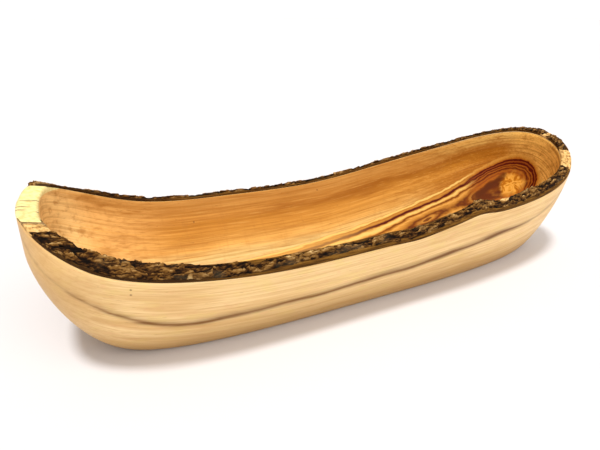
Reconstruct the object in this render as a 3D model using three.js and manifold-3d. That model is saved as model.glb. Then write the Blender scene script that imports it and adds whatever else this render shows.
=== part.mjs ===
import * as THREE from 'three';
import { mergeVertices } from 'three/addons/utils/BufferGeometryUtils.js';
import Module from 'manifold-3d';

// A long bread bowl, carved from one half of a crooked olive log that keeps its bark along the rim.
// Millimetres. X runs along the bowl, from the sawn end at -X to the round end at +X, and Z is up.
// The front is at -Y. The origin is on the floor, under the middle of the bowl.

// The carved outside. Its walls and ends lean out from a flat base, up to the height of full spread.
const LENGTH = 420;
const WIDTH = 128;
const BASE_WIDTH = 63;
const SPREAD_HEIGHT = 74;
const SAWN_END_FLARE = 42.5;
const ROUND_END_FLARE = 32;
const SIDE_SWELL = 1.28;
const END_SWELL = 1.55;
// The share of the width that is gained from the middle to the sawn end, and lost to the round end.
const TAPER = 0.087;

// Fullness of the plan outline at each end: the first power is along the bowl and the second across it.
const SAWN_END_OUTSIDE = [3.7, 2.75];
const ROUND_END_OUTSIDE = [3.24, 2.37];
const SAWN_END_INSIDE = [3.65, 3.4];
const ROUND_END_INSIDE = [3.85, 2.25];

// The hollow, with the thickness of its walls at the rim and the flat of its floor.
const SIDE_WALL = 7.4;
const END_WALL = 11;
const FLOOR_THICKNESS = 11;
const FLOOR_WIDTH = 33;
const FLOOR_END_INSET = 52;
const HOLLOW_SIDE_SWELL = 1.5;
const HOLLOW_END_SWELL = 1.8;

// The log is wider than the bowl by a margin on each side. Its middle line is given at even steps from the
// sawn end to the round end: how far it is above the floor, and how far it drifts to the back.
const LOG_MARGIN = 15.5;
const LOG_RISE = [23.5, 12, 7.5, 6.5, 12.5, 14.5, 16];
const LOG_DRIFT = [10, 1.5, 1.5, 1.5, 3.5, 11, 24];

// A knot swells the log under the front rim, beside a shallow dip.
const KNOT_FROM_MIDDLE = 71;
const KNOT_FROM_SIDE = 4;
const KNOT_HEIGHT = 2.5;
const KNOT_LENGTH = 16;
const KNOT_WIDTH = 18;
const DIP_FROM_MIDDLE = 20;
const DIP_DEPTH = 1.6;
const DIP_LENGTH = 17;

// The saw cut that levels one end of the rim: its depth under the log's crown there, and its fall inwards.
const SAW_CUT_DEPTH = 6.3;
const SAW_CUT_SLOPE = 0.168;
const SAW_CUT_LENGTH = 80;

// The bark: a smooth inner layer on the wood, and rough plates on that layer, with a seam between pieces.
const SEAM = 0.3;
const INNER_BARK = 1.1;
const OUTER_BARK = 0.9;
const PLATE_RELIEF = 0.6;
const PLATE_LENGTH = 24;
const PLATE_WIDTH = 9;
// A lump of thick bark stands up at the round end.
const LUMP_FROM_ROUND_END = 3;
const LUMP_OFF_CENTRE = 15.5;
const LUMP_HEIGHT = 5.6;
const LUMP_SIZE = 8.5;

// The plates' relief is made of three waves, each with its share of the height: the plates themselves,
// swells that are longer than a plate, and flakes that are shorter.
const PLATE_SHARE = 0.5;
const SWELL_SHARE = 0.3;
const FLAKE_SHARE = 0.2;
const SWELLS_PER_PLATE = 0.62;
const FLAKES_PER_PLATE = 2.3;

// Where each run of bark starts and stops, in degrees from the round end, by way of the back. The rough
// plates have broken away between their runs, and the ends of a run are ragged by some degrees.
const INNER_BARK_DEGREES = [186, 522];
const FRONT_DEGREES = [197, 335];
const END_DEGREES = [348, 360];
const BACK_DEGREES = [363, 522];
const RAGGED_DEGREES = 1.2;
const RAGGED_WAVES = 1.3;

// How finely the curved skins are divided.
const PLAN_POINTS = 96;
const HULL_LEVELS = 11;
const HOLLOW_LEVELS = 9;
const LOG_STATIONS = 60;
const LOG_ARC_POINTS = 36;
const BARK_DEGREES = 2;
const BARK_COLUMNS = 4;
const RIM_STEPS = 12;
const FOOT_CROWDING = 1.5;

const HALF_LENGTH = LENGTH / 2;
const SAWN_END = -HALF_LENGTH;
const ROUND_END = HALF_LENGTH;
const LOG_RADIUS = WIDTH / 2 + LOG_MARGIN;
const LOG_OVERHANG = 12;
const LOG_ARC = THREE.MathUtils.degToRad(80);
const SAW_CUT_HEIGHT = LOG_RISE[0] + LOG_RADIUS - SAW_CUT_DEPTH;
const KNOT_OFF_CENTRE = KNOT_FROM_SIDE - WIDTH / 2;
const ABOVE_ALL = Math.max(...LOG_RISE) + LOG_RADIUS + LUMP_HEIGHT + LOG_OVERHANG;
const BELOW_ALL = -LOG_OVERHANG;

const wasm = await Module();
wasm.setup();

// Turns a closed geometry into a solid that can be joined and cut.
function solidFrom(geometry) {
  const bare = geometry.clone();
  bare.deleteAttribute('normal');
  bare.deleteAttribute('uv');
  const merged = mergeVertices(bare);
  return new wasm.Manifold(
    new wasm.Mesh({
      numProp: 3,
      vertProperties: merged.getAttribute('position').array,
      triVerts: new Uint32Array(merged.index.array),
    }),
  );
}

// Turns a solid back into a geometry with flat facets.
function geometryFrom(solid) {
  const mesh = solid.getMesh();
  const indexed = new THREE.BufferGeometry();
  indexed.setAttribute('position', new THREE.BufferAttribute(mesh.vertProperties, mesh.numProp));
  indexed.setIndex(new THREE.BufferAttribute(mesh.triVerts, 1));
  const faceted = indexed.toNonIndexed();
  faceted.computeVertexNormals();
  return faceted;
}

// The middle of a ring of points.
function middleOf(ring) {
  return ring.reduce((sum, point) => sum.add(point), new THREE.Vector3()).divideScalar(ring.length);
}

// Skins closed rings that have the same number of points and run counter-clockwise when they are seen from
// the last ring, and closes both ends with a fan of triangles round the ring's middle.
function skin(rings) {
  const count = rings[0].length;
  const lastRing = (rings.length - 1) * count;
  const firstMiddle = rings.length * count;
  const lastMiddle = firstMiddle + 1;
  const index = [];
  for (let column = 0; column < count; column += 1) {
    const next = (column + 1) % count;
    for (let low = 0; low < lastRing; low += count) {
      const high = low + count;
      index.push(low + column, low + next, high + next);
      index.push(low + column, high + next, high + column);
    }
    index.push(firstMiddle, next, column);
    index.push(lastMiddle, lastRing + column, lastRing + next);
  }
  const points = [...rings.flat(), middleOf(rings[0]), middleOf(rings[rings.length - 1])];
  const geometry = new THREE.BufferGeometry().setFromPoints(points);
  geometry.setIndex(index);
  return geometry;
}

// A point on a rounded outline seen from above, at an angle counted from the round end towards the back.
function outlinePoint(outline, angle, height) {
  const along = Math.cos(angle);
  const end = along < 0 ? outline.sawn : outline.round;
  const [lengthPower, widthPower] = end.fullness;
  const x = end.reach * along;
  const halfWidth = outline.halfWidth * (1 - (TAPER * x) / HALF_LENGTH);
  const across = (1 - Math.abs(along) ** lengthPower) ** (1 / widthPower);
  return new THREE.Vector3(x, Math.sign(Math.sin(angle)) * halfWidth * across, height);
}

// How far a wall still is from its full spread, as a share, at a share of its height. It closes quickly at
// the foot and stands upright at the top.
function shortfall(share, swell) {
  return 1 - (1 - (1 - share) ** swell) ** (1 / swell);
}

// The carved outside's outline at a height.
function outsideAt(height) {
  const share = THREE.MathUtils.clamp(height / SPREAD_HEIGHT, 0, 1);
  const endShort = shortfall(share, END_SWELL);
  return {
    halfWidth: THREE.MathUtils.lerp(WIDTH / 2, BASE_WIDTH / 2, shortfall(share, SIDE_SWELL)),
    sawn: { reach: HALF_LENGTH - SAWN_END_FLARE * endShort, fullness: SAWN_END_OUTSIDE },
    round: { reach: HALF_LENGTH - ROUND_END_FLARE * endShort, fullness: ROUND_END_OUTSIDE },
  };
}

// The hollow's outline at a height.
function hollowAt(height) {
  const share = THREE.MathUtils.clamp((height - FLOOR_THICKNESS) / (SPREAD_HEIGHT - FLOOR_THICKNESS), 0, 1);
  const reach = HALF_LENGTH - END_WALL - FLOOR_END_INSET * shortfall(share, HOLLOW_END_SWELL);
  const sideShort = shortfall(share, HOLLOW_SIDE_SWELL);
  return {
    halfWidth: THREE.MathUtils.lerp(WIDTH / 2 - SIDE_WALL, FLOOR_WIDTH / 2, sideShort),
    sawn: { reach, fullness: SAWN_END_INSIDE },
    round: { reach, fullness: ROUND_END_INSIDE },
  };
}

// A solid that follows an outline up from its foot to the height of full spread, with levels set closer at
// the rounded foot, and then goes straight up.
function makeRisingSolid(outlineAt, foot, levels, top) {
  const heights = [];
  for (let level = 0; level <= levels; level += 1) {
    heights.push(foot + (SPREAD_HEIGHT - foot) * (level / levels) ** FOOT_CROWDING);
  }
  const rings = [...heights, top].map((height) => {
    const outline = outlineAt(height);
    const ring = [];
    for (let point = 0; point < PLAN_POINTS; point += 1) {
      ring.push(outlinePoint(outline, (2 * Math.PI * point) / PLAN_POINTS, height));
    }
    return ring;
  });
  return solidFrom(skin(rings));
}

// The crooked middle line of the log.
const logLine = new THREE.CatmullRomCurve3(
  LOG_RISE.map((rise, station) => {
    const x = THREE.MathUtils.lerp(SAWN_END, ROUND_END, station / (LOG_RISE.length - 1));
    return new THREE.Vector3(x, LOG_DRIFT[station], rise);
  }),
  false,
  'catmullrom',
);

function logMiddleAt(x) {
  return logLine.getPoint(THREE.MathUtils.clamp(x / LENGTH + 0.5, 0, 1));
}

// A smooth bump that is 1 in its middle and fades to nothing over its size.
function bump(distance, size) {
  return Math.exp(-((distance / size) ** 2));
}

// How far the knot and the dip beside it lift the log's surface at a place.
function swelling(x, y) {
  const knot = KNOT_HEIGHT * bump(x - KNOT_FROM_MIDDLE, KNOT_LENGTH);
  const dip = DIP_DEPTH * bump(x - DIP_FROM_MIDDLE, DIP_LENGTH);
  return (knot - dip) * bump(y - KNOT_OFF_CENTRE, KNOT_WIDTH);
}

// The height, at a place, of the surface that lies a given thickness outside the wood.
function logHeight(x, y, thickness) {
  const middle = logMiddleAt(x);
  const radius = LOG_RADIUS + thickness + swelling(x, y);
  return middle.z + Math.sqrt(radius ** 2 - (y - middle.y) ** 2);
}

// The upper half of the log without its bark, with its stations closer together towards its ends.
function makeLog() {
  const rings = [];
  for (let station = 0; station <= LOG_STATIONS; station += 1) {
    const even = (2 * station) / LOG_STATIONS - 1;
    const x = ((even + Math.sin((even * Math.PI) / 2)) / 2) * (HALF_LENGTH + LOG_OVERHANG);
    const middle = logMiddleAt(x);
    const ring = [];
    for (let turn = 0; turn <= LOG_ARC_POINTS; turn += 1) {
      const angle = LOG_ARC * (1 - (2 * turn) / LOG_ARC_POINTS);
      const y = middle.y + LOG_RADIUS * Math.sin(angle);
      ring.push(new THREE.Vector3(x, y, logHeight(x, y, 0)));
    }
    ring.push(ring[LOG_ARC_POINTS].clone().setZ(BELOW_ALL));
    ring.push(ring[0].clone().setZ(BELOW_ALL));
    rings.push(ring);
  }
  return solidFrom(skin(rings));
}

// The place where a side of the wall, at an angle, comes up to a surface of the log. Each step lifts the
// point to the log and then moves it to the wall at that height.
function rimPoint(outlineAt, angle, thickness) {
  let height = SPREAD_HEIGHT;
  for (let step = 0; step < RIM_STEPS; step += 1) {
    const place = outlinePoint(outlineAt(height), angle, height);
    height = logHeight(place.x, place.y, thickness);
  }
  return outlinePoint(outlineAt(height), angle, height);
}

// How far the rough plates stand above their mean surface: staggered plates with furrows between them, and
// the lump at the round end.
function plateRelief(x, y) {
  const lengthwise = (2 * Math.PI * x) / PLATE_LENGTH;
  const crosswise = (2 * Math.PI * y) / PLATE_WIDTH;
  const plates = PLATE_SHARE * Math.sin(lengthwise + 2 * Math.sin(crosswise / 2));
  const swells = SWELL_SHARE * Math.sin(SWELLS_PER_PLATE * lengthwise) * Math.cos(crosswise / 2);
  const flakes = FLAKE_SHARE * Math.sin(FLAKES_PER_PLATE * lengthwise + crosswise);
  const lump = bump(x - ROUND_END + LUMP_FROM_ROUND_END, LUMP_SIZE) * bump(y - LUMP_OFF_CENTRE, LUMP_SIZE);
  return PLATE_RELIEF * (plates + swells + flakes) + LUMP_HEIGHT * lump;
}

// One edge-to-edge row of a layer of bark: from the outside of the wall to the hollow, on a surface of the
// log, along a slightly ragged line.
function barkRow(degrees, raggedDegrees, thicknessAt) {
  const row = [];
  for (let column = 0; column <= BARK_COLUMNS; column += 1) {
    const inward = column / BARK_COLUMNS;
    const ragged = raggedDegrees * Math.sin(2 * Math.PI * RAGGED_WAVES * inward);
    const angle = THREE.MathUtils.degToRad(degrees + ragged);
    const mean = thicknessAt(null);
    const place = rimPoint(outsideAt, angle, mean).lerp(rimPoint(hollowAt, angle, mean), inward);
    row.push(place.setZ(logHeight(place.x, place.y, thicknessAt(place))));
  }
  return row;
}

// A layer of bark along the rim, between two surfaces of the log and the two sides of the wall.
function makeBark([from, to], foot, thickness, raggedDegrees, relief) {
  const steps = Math.ceil((to - from) / BARK_DEGREES);
  const topAt = (place) => foot + thickness + (place ? relief(place.x, place.y) : 0);
  const rings = [];
  for (let step = 0; step <= steps; step += 1) {
    const degrees = THREE.MathUtils.lerp(from, to, step / steps);
    const low = barkRow(degrees, raggedDegrees, () => foot);
    const high = barkRow(degrees, raggedDegrees, topAt);
    rings.push([...low, ...high.reverse()]);
  }
  return solidFrom(skin(rings)).subtract(sawCut);
}

// The block that the saw takes off the rim at the sawn end.
function makeSawCut() {
  const block = new THREE.BoxGeometry(SAW_CUT_LENGTH + LOG_OVERHANG, 2 * WIDTH, ABOVE_ALL);
  block.translate((SAW_CUT_LENGTH - LOG_OVERHANG) / 2, 0, ABOVE_ALL / 2);
  block.rotateY(Math.atan(SAW_CUT_SLOPE));
  block.translate(SAWN_END, 0, SAW_CUT_HEIGHT);
  return solidFrom(block);
}

const sawCut = makeSawCut();

// The wood: the carved outside as far up as the log goes, less the hollow and the saw cut.
function makeBody() {
  const carved = makeRisingSolid(outsideAt, 0, HULL_LEVELS, ABOVE_ALL).intersect(makeLog());
  const hollow = makeRisingSolid(hollowAt, FLOOR_THICKNESS, HOLLOW_LEVELS, ABOVE_ALL + LOG_OVERHANG);
  return carved.subtract(hollow).subtract(sawCut);
}

// The inner bark runs from the front of the saw cut, along the front and round the end, to its back.
function makeInnerBark() {
  return makeBark(INNER_BARK_DEGREES, SEAM, INNER_BARK, 0, () => 0);
}

function makeOuterBark(run) {
  return makeBark(run, SEAM + INNER_BARK + SEAM, OUTER_BARK, RAGGED_DEGREES, plateRelief);
}

const wood = new THREE.MeshStandardMaterial({ color: 0xd9a862, roughness: 0.5, metalness: 0 });
const smoothBark = new THREE.MeshStandardMaterial({ color: 0x8a5a33, roughness: 0.75, metalness: 0 });
const roughBark = new THREE.MeshStandardMaterial({ color: 0x3b2c20, roughness: 0.95, metalness: 0 });

const bowl = new THREE.Group();
bowl.name = 'bread_bowl';

function addPiece(name, solid, material) {
  const piece = new THREE.Mesh(geometryFrom(solid), material);
  piece.name = name;
  bowl.add(piece);
}

addPiece('bowl_body', makeBody(), wood);
addPiece('inner_bark', makeInnerBark(), smoothBark);
addPiece('outer_bark_front', makeOuterBark(FRONT_DEGREES), roughBark);
addPiece('outer_bark_end', makeOuterBark(END_DEGREES), roughBark);
addPiece('outer_bark_back', makeOuterBark(BACK_DEGREES), roughBark);

export default bowl;
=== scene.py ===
"""Looks of a long olive wood bread bowl with its bark left on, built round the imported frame.

Lengths are in millimetres until a mesh is written, which is in metres. X runs along the bowl from the sawn
end to the round end, Y from the front rim to the back rim, and Z is up from the floor.
"""

import logging
from dataclasses import dataclass
from enum import Enum, IntEnum
from typing import Any

import bpy
import numpy as np
from mathutils import Matrix
from numpy.typing import NDArray


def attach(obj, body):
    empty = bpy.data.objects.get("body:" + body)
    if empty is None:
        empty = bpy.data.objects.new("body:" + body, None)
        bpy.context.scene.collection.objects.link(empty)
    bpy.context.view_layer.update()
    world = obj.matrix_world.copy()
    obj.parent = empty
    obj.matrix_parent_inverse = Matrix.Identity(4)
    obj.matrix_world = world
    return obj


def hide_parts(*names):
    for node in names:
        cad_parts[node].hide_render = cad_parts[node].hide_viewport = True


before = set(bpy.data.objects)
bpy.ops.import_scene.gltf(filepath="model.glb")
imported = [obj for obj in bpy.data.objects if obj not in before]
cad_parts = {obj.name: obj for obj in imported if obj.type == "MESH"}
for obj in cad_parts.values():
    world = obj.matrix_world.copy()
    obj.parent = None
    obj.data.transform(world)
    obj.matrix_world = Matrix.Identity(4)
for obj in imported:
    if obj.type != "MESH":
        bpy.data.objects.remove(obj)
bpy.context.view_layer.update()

LOGGER = logging.getLogger("bread_bowl")
Array = NDArray[np.float64]

METRES = 0.001
HALF_LENGTH = 210.0
BODY = "root"

# ABOVE_ALL is a height that nothing reaches, and NO_CHANGE is the size of a cell that a noise never leaves.
ABOVE_ALL = 999.0
NO_CHANGE = 9e9

# Large odd numbers that mix the bits of a cell and a seed.
CELL_MIXERS = np.array([73856093, 19349663, 83492791])
SEED_MIXER = 668265263
BIT_MIXER = 1274126177


class Slot(Enum):
    """The material slots."""

    WOOD = "olive_wood"
    INNER_BARK = "inner_bark"
    OUTER_BARK = "outer_bark"


class Side(Enum):
    """The two sides of the bowl's wall."""

    OUTER = 0
    INNER = 1


class Seed(IntEnum):
    """The seeds of the noise patterns, one for each use."""

    WOOD_WARP = 11
    WOOD_RIPPLE = 17
    RIDGES = 31
    CRUMBS = 33
    SCORCH = 35
    BARE_EDGE = 37
    CRUMBLED_EDGE = 41
    BEND_ALONG = 51
    BEND_ROUND = 52
    PLATES = 53
    SMALL_PLATES = 57
    FURROWS = 61
    BARK_CRUMBS = 63
    FLAKE_SHAPE = 71
    FLAKE_SURFACE = 73


class Tone(str, Enum):
    """The tones of olive heartwood, from its darkest lines to its palest bands."""

    OXBLOOD = "#4E0800"
    UMBER = "#5E2800"
    CHESTNUT = "#743A00"
    RUST = "#884210"
    RUSSET = "#A45C14"
    TAN = "#A2681E"
    AMBER = "#BC8232"
    HONEY = "#D49A46"
    GOLD = "#E0B864"


# Noise and other plain functions of whole arrays.


def blend(low: Any, high: Any, share: Any) -> Any:
    """Mixes two values: the first at share 0 and the second at share 1."""
    return low + (high - low) * share


def ease(low: float, high: float, value: Array) -> Array:
    """A smooth step: 0 below low, 1 above high, and 3t squared less 2t cubed between them."""
    share = np.clip((value - low) / (high - low), 0.0, 1.0)
    return share * share * (3.0 - 2.0 * share)


def bump(distance: Array, size: float) -> Array:
    """A smooth bump: e to the power of minus the square of distance over size."""
    return np.exp(-((distance / size) ** 2))


def through(values: tuple[float, ...], place: Array) -> Array:
    """A smooth curve through evenly spaced values.

    It is the Catmull-Rom spline: between two values it is the cubic whose slope at each value is half the
    difference of that value's neighbours. Each end is carried on in a straight line.

    Args:
        values: the values at even steps from place -1 to place 1.
        place: where to read the curve.

    Returns:
        The curve's value at each place.
    """
    last = len(values) - 1
    row = np.array([2 * values[0] - values[1], *values, 2 * values[-1] - values[-2]])
    along = np.clip((place + 1) / 2 * last, 0, last)
    step = np.minimum(np.floor(along).astype(int), last - 1)
    part = along - step
    before, start, end, after = (row[step + shift] for shift in range(4))
    straight = start + 0.5 * part * (end - before)
    square = before - 2.5 * start + 2 * end - 0.5 * after
    cube = 0.5 * (after - before) + 1.5 * (start - end)
    return straight + part**2 * square + part**3 * cube


def distance_to_line(points: Array, line: tuple[tuple[float, float, float], ...]) -> Array:
    """How far each point is from a straight line.

    Args:
        points: the places.
        line: the line's two ends.

    Returns:
        The distance to the nearest point between the two ends.
    """
    start, stop = np.array(line)
    share = np.clip((points - start) @ (stop - start) / np.sum((stop - start) ** 2), 0.0, 1.0)
    return np.linalg.norm(points - blend(start, stop, share[:, None]), axis=1)


def scatter(cells: NDArray[np.int64], seed: int) -> Array:
    """A number from 0 to 1 for each whole cell that looks random and is always the same.

    Args:
        cells: whole coordinates, three in the last axis.
        seed: picks one of many such patterns.

    Returns:
        The cell's three coordinates, each times its own large odd number, are summed, mixed and scaled.
    """
    mask = 0x7FFFFFFF
    mixed = (cells @ CELL_MIXERS + seed * SEED_MIXER) & mask
    for _ in range(3):
        mixed = ((mixed ^ (mixed >> 15)) * BIT_MIXER) & mask
    return (mixed ^ (mixed >> 13)) / mask


def noise(points: Array, seed: int) -> Array:
    """Smooth noise from -1 to 1.

    Args:
        points: the places, in cells.
        seed: picks the pattern.

    Returns:
        Each cell corner's random value, blended through the cell by a smooth step.
    """
    cell = np.floor(points).astype(np.int64)
    part = points - cell
    part = part * part * (3.0 - 2.0 * part)
    total = np.zeros(points.shape[:-1])
    for corner in np.ndindex(2, 2, 2):
        weight = np.prod(np.where(corner, part, 1.0 - part), axis=-1)
        total += weight * scatter(cell + np.array(corner), seed)
    return 2.0 * total - 1.0


def layered(points: Array, octaves: int, seed: int) -> Array:
    """Noise summed over octaves.

    Args:
        points: the places, in cells of the coarsest octave.
        octaves: how many there are, each twice as fine and half as strong as the one before.
        seed: picks the coarsest octave's pattern, and the numbers after it pick the others.

    Returns:
        The sum over the sum of the strengths.
    """
    total = np.zeros(points.shape[:-1])
    for octave in range(octaves):
        total += noise(points * 2.0**octave, seed + octave) / 2.0**octave
    return total / (2.0 - 2.0 ** (1 - octaves))


def plates(points: Array, seed: int) -> tuple[Array, Array, Array]:
    """Splits a surface into irregular plates round one random point in each cell.

    Args:
        points: places on the surface, in cells, with the third coordinate 0.
        seed: picks the pattern.

    Returns:
        How far each place is from its plate's edge, as the gap between the distances to the nearest two
        random points, the random number of its plate, and the plate's lean there, which is the way from its
        random point along a random direction.
    """
    cell = np.floor(points).astype(np.int64)
    nearest = np.full(points.shape[:-1], 9.0)
    second = nearest.copy()
    owner = np.zeros_like(nearest)
    lean = np.zeros_like(nearest)
    for shift in np.ndindex(3, 3):
        there = cell + np.array([shift[0] - 1, shift[1] - 1, 0])
        jitter = np.stack([scatter(there, seed), scatter(there, seed + 1)], -1)
        way = points[..., :2] - there[..., :2] - jitter
        gap = np.linalg.norm(way, axis=-1)
        closer = gap < nearest
        number = scatter(there, seed + 2)
        turn = 2.0 * np.pi * scatter(there, seed + 3)
        second = np.where(closer, nearest, np.minimum(second, gap))
        owner = np.where(closer, number, owner)
        lean = np.where(closer, way[..., 0] * np.cos(turn) + way[..., 1] * np.sin(turn), lean)
        nearest = np.where(closer, gap, nearest)
    return second - nearest, owner, lean


# The shape of the bowl and its log, by the same formulas as the frame.


@dataclass(frozen=True)
class Log:
    """The half of a crooked limb that the bowl is cut from.

    Its surface is a circle swept along a middle line that rises and drifts to the back, with a knot and a dip
    under the front rim.
    """

    radius: float = 79.5
    rise: tuple[float, ...] = (23.5, 12.0, 7.5, 6.5, 12.5, 14.5, 16.0)
    drift: tuple[float, ...] = (10.0, 1.5, 1.5, 1.5, 3.5, 11.0, 24.0)
    knot: tuple[float, float, float, float] = (71.0, -60.0, 2.5, 16.0)
    dip: tuple[float, float, float] = (20.0, 1.6, 17.0)
    knot_width: float = 18.0
    saw_height: float = 96.7
    saw_slope: float = 0.168
    saw_end: float = -100.0
    saw_lift: tuple[float, float, float] = (3.4, 14.0, 32.0)

    def middle(self, x: Array) -> tuple[Array, Array]:
        """The middle line's y and z at each x."""
        place = x / HALF_LENGTH
        return through(self.drift, place), through(self.rise, place)

    def height(self, x: Array, y: Array, thickness: Any) -> Array:
        """The height of the surface that lies a thickness outside the wood.

        Args:
            x: places along the bowl.
            y: places across it.
            thickness: how far outside the wood the surface is.

        Returns:
            The middle's height plus the square root of the radius squared less the offset squared.
        """
        drift, rise = self.middle(x)
        along, across, lift, length = self.knot
        dip_along, depth, dip_length = self.dip
        swell = lift * bump(x - along, length) - depth * bump(x - dip_along, dip_length)
        radius = self.radius + thickness + swell * bump(y - across, self.knot_width)
        return rise + np.sqrt(np.maximum(radius**2 - (y - drift) ** 2, 1.0))

    def saw_plane(self, x: Array, y: Array) -> Array:
        """The height of the level saw cut at the sawn end.

        The cut falls evenly along x, and rises a little to the back edge by a smooth step across y.

        Args:
            x: places along the bowl.
            y: places across it.

        Returns:
            The cut's height, and a height far above the bowl away from the sawn end.
        """
        lift, low, high = self.saw_lift
        cut = self.saw_height - self.saw_slope * (x + HALF_LENGTH) + lift * ease(low, high, y)
        return np.where(x < self.saw_end, cut, ABOVE_ALL)

    def place_in_log(self, points: Array) -> Array:
        """Turns places into log coordinates.

        Args:
            points: the places.

        Returns:
            The place along the log, round it as an arc, and out from its middle.
        """
        drift, rise = self.middle(points[..., 0])
        across = points[..., 1] - drift
        up = points[..., 2] - rise
        turn = np.arctan2(across, up)
        return np.stack([points[..., 0], turn * self.radius, np.hypot(across, up)], -1)


@dataclass(frozen=True)
class End:
    """One end of an outline: its reach, how much less it reaches at the foot, and its fullness."""

    reach: float
    flare: float
    along_power: float
    across_power: float


@dataclass(frozen=True)
class Wall:
    """One side of the bowl's wall, as a stack of rounded outlines that grow with height."""

    foot: float
    half_width: float
    foot_half_width: float
    side_swell: float
    end_swell: float
    sawn: End
    round: End
    full_height: float = 74.0
    taper: float = 0.087

    def short(self, height: Array, swell: float) -> Array:
        """How far the wall is from its full spread: 1 less the swelled share of its height."""
        share = np.clip((height - self.foot) / (self.full_height - self.foot), 0.0, 1.0)
        return 1.0 - (1.0 - (1.0 - share) ** swell) ** (1.0 / swell)

    def point(self, angle: Array, height: Array) -> Array:
        """A place on the wall.

        Args:
            angle: counted from the round end by way of the back.
            height: above the floor.

        Returns:
            x is reach times cosine. y is half the width there, times 1 less the cosine's power, rooted.
        """
        along = np.cos(angle)
        sawn_side = along < 0
        reach = np.where(sawn_side, self.sawn.reach, self.round.reach)
        flare = np.where(sawn_side, self.sawn.flare, self.round.flare)
        power = np.where(sawn_side, self.sawn.along_power, self.round.along_power)
        root = np.where(sawn_side, self.sawn.across_power, self.round.across_power)
        x = along * (reach - flare * self.short(height, self.end_swell))
        half = blend(self.half_width, self.foot_half_width, self.short(height, self.side_swell))
        across = np.maximum(1.0 - np.abs(along) ** power, 0.0) ** (1.0 / root)
        y = np.sign(np.sin(angle)) * half * (1.0 - self.taper * x / HALF_LENGTH) * across
        return np.stack([x, y, np.broadcast_to(height, x.shape)], -1)

    def rim(self, log: Log, angle: Array, thickness: Any, cut: bool = False) -> Array:
        """Where the wall meets a surface of the log, found by stepping up to it and back to the wall.

        Args:
            log: the log.
            angle: counted from the round end by way of the back.
            thickness: how far outside the wood the surface is.
            cut: whether the saw cut lowers it.

        Returns:
            The place on the wall at each angle.
        """
        height = np.full(np.shape(angle), self.full_height)
        for _ in range(14):
            place = self.point(angle, height)
            height = log.height(place[..., 0], place[..., 1], thickness)
            if cut:
                height = np.minimum(height, log.saw_plane(place[..., 0], place[..., 1]))
        return self.point(angle, height)


LOG = Log()
OUTSIDE = Wall(0.0, 64.0, 31.5, 1.28, 1.55, End(210.0, 42.5, 3.7, 2.75), End(210.0, 32.0, 3.24, 2.37))
HOLLOW = Wall(11.0, 56.6, 16.5, 1.5, 1.8, End(199.0, 52.0, 3.65, 3.4), End(199.0, 52.0, 3.85, 2.25))


def even_angles(start: float, stop: float, spacing: float) -> tuple[Array, Array]:
    """Angles that walk round the rim in even steps of length.

    Args:
        start: the first angle, in degrees.
        stop: the last angle, in degrees.
        spacing: the length of a step.

    Returns:
        The angles, in radians, and how far along the rim each is.
    """
    fine = np.radians(np.linspace(start, stop, 4001))
    walk = OUTSIDE.rim(LOG, fine, 0.0)
    length = np.concatenate([[0.0], np.cumsum(np.linalg.norm(np.diff(walk, axis=0), axis=1))])
    even = np.linspace(0.0, length[-1], int(length[-1] / spacing) + 1)
    return np.interp(even, length, fine), even


def even_angles_share(start: float, stop: float) -> tuple[Array, Array]:
    """Shares of a run's length, and the angle at each."""
    angle, along = even_angles(start, stop, 1.0)
    return along / along[-1], angle


# Meshes.


def write_mesh(
    name: str, points: Array, faces: list[list[int]], marks: dict[str, Array]
) -> bpy.types.Object:
    """Puts a surface into a new object, with its place in its mesh.

    Args:
        name: the piece's name.
        points: its vertices, in millimetres.
        faces: its faces, as lists of vertex numbers.
        marks: values for the materials, one number or one triple for each vertex.

    Returns:
        The new object.
    """
    mesh = bpy.data.meshes.new(name)
    mesh.from_pydata((points * METRES).tolist(), [], faces)
    for mark, values in marks.items():
        kind, field = ("FLOAT_VECTOR", "vector") if values.ndim == 2 else ("FLOAT", "value")
        attribute = mesh.attributes.new(mark, kind, "POINT")
        attribute.data.foreach_set(field, values.astype(np.float32).ravel())
    mesh.validate()
    mesh.shade_smooth()
    piece = bpy.data.objects.new(name, mesh)
    bpy.context.scene.collection.objects.link(piece)
    return piece


def quads(rows: int, columns: int, wrap_rows: bool, wrap_columns: bool) -> NDArray[np.int64]:
    """The quads of a grid of points that is numbered row by row.

    Args:
        rows: how many rows it has.
        columns: how many columns it has.
        wrap_rows: whether the last row joins the first.
        wrap_columns: whether the last column joins the first.

    Returns:
        Four vertex numbers for each quad.
    """
    row, column = np.meshgrid(
        np.arange(rows if wrap_rows else rows - 1),
        np.arange(columns if wrap_columns else columns - 1),
        indexing="ij",
    )
    next_row = (row + 1) % rows
    next_column = (column + 1) % columns
    corners = [row * columns + column, row * columns + next_column]
    corners += [next_row * columns + next_column, next_row * columns + column]
    return np.stack(corners, -1).reshape(-1, 4)


def tube_faces(columns: int, rows: int) -> list[list[int]]:
    """The faces of a closed tube.

    Args:
        columns: how many sections it has.
        rows: how many points each section has.

    Returns:
        The quads between its sections, and a fan round a last point at each end.
    """
    row = np.arange(rows)
    following = (row + 1) % rows
    last = (columns - 1) * rows
    start = np.stack([np.full(rows, columns * rows), row, following], -1)
    stop = np.stack([np.full(rows, columns * rows + 1), last + following, last + row], -1)
    return quads(columns, rows, False, True)[:, ::-1].tolist() + start.tolist() + stop.tolist()


def tube_triangles(columns: int, rows: int) -> list[list[int]]:
    """The faces of a closed tube as triangles only.

    Args:
        columns: how many sections it has.
        rows: how many points each section has.

    Returns:
        The faces, with each quad cut in two from its first corner.
    """
    faces = tube_faces(columns, rows)
    pairs = [[face[:3], [face[0], *face[2:]]] if len(face) == 4 else [face] for face in faces]
    return [part for pair in pairs for part in pair]


# The wood.


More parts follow.
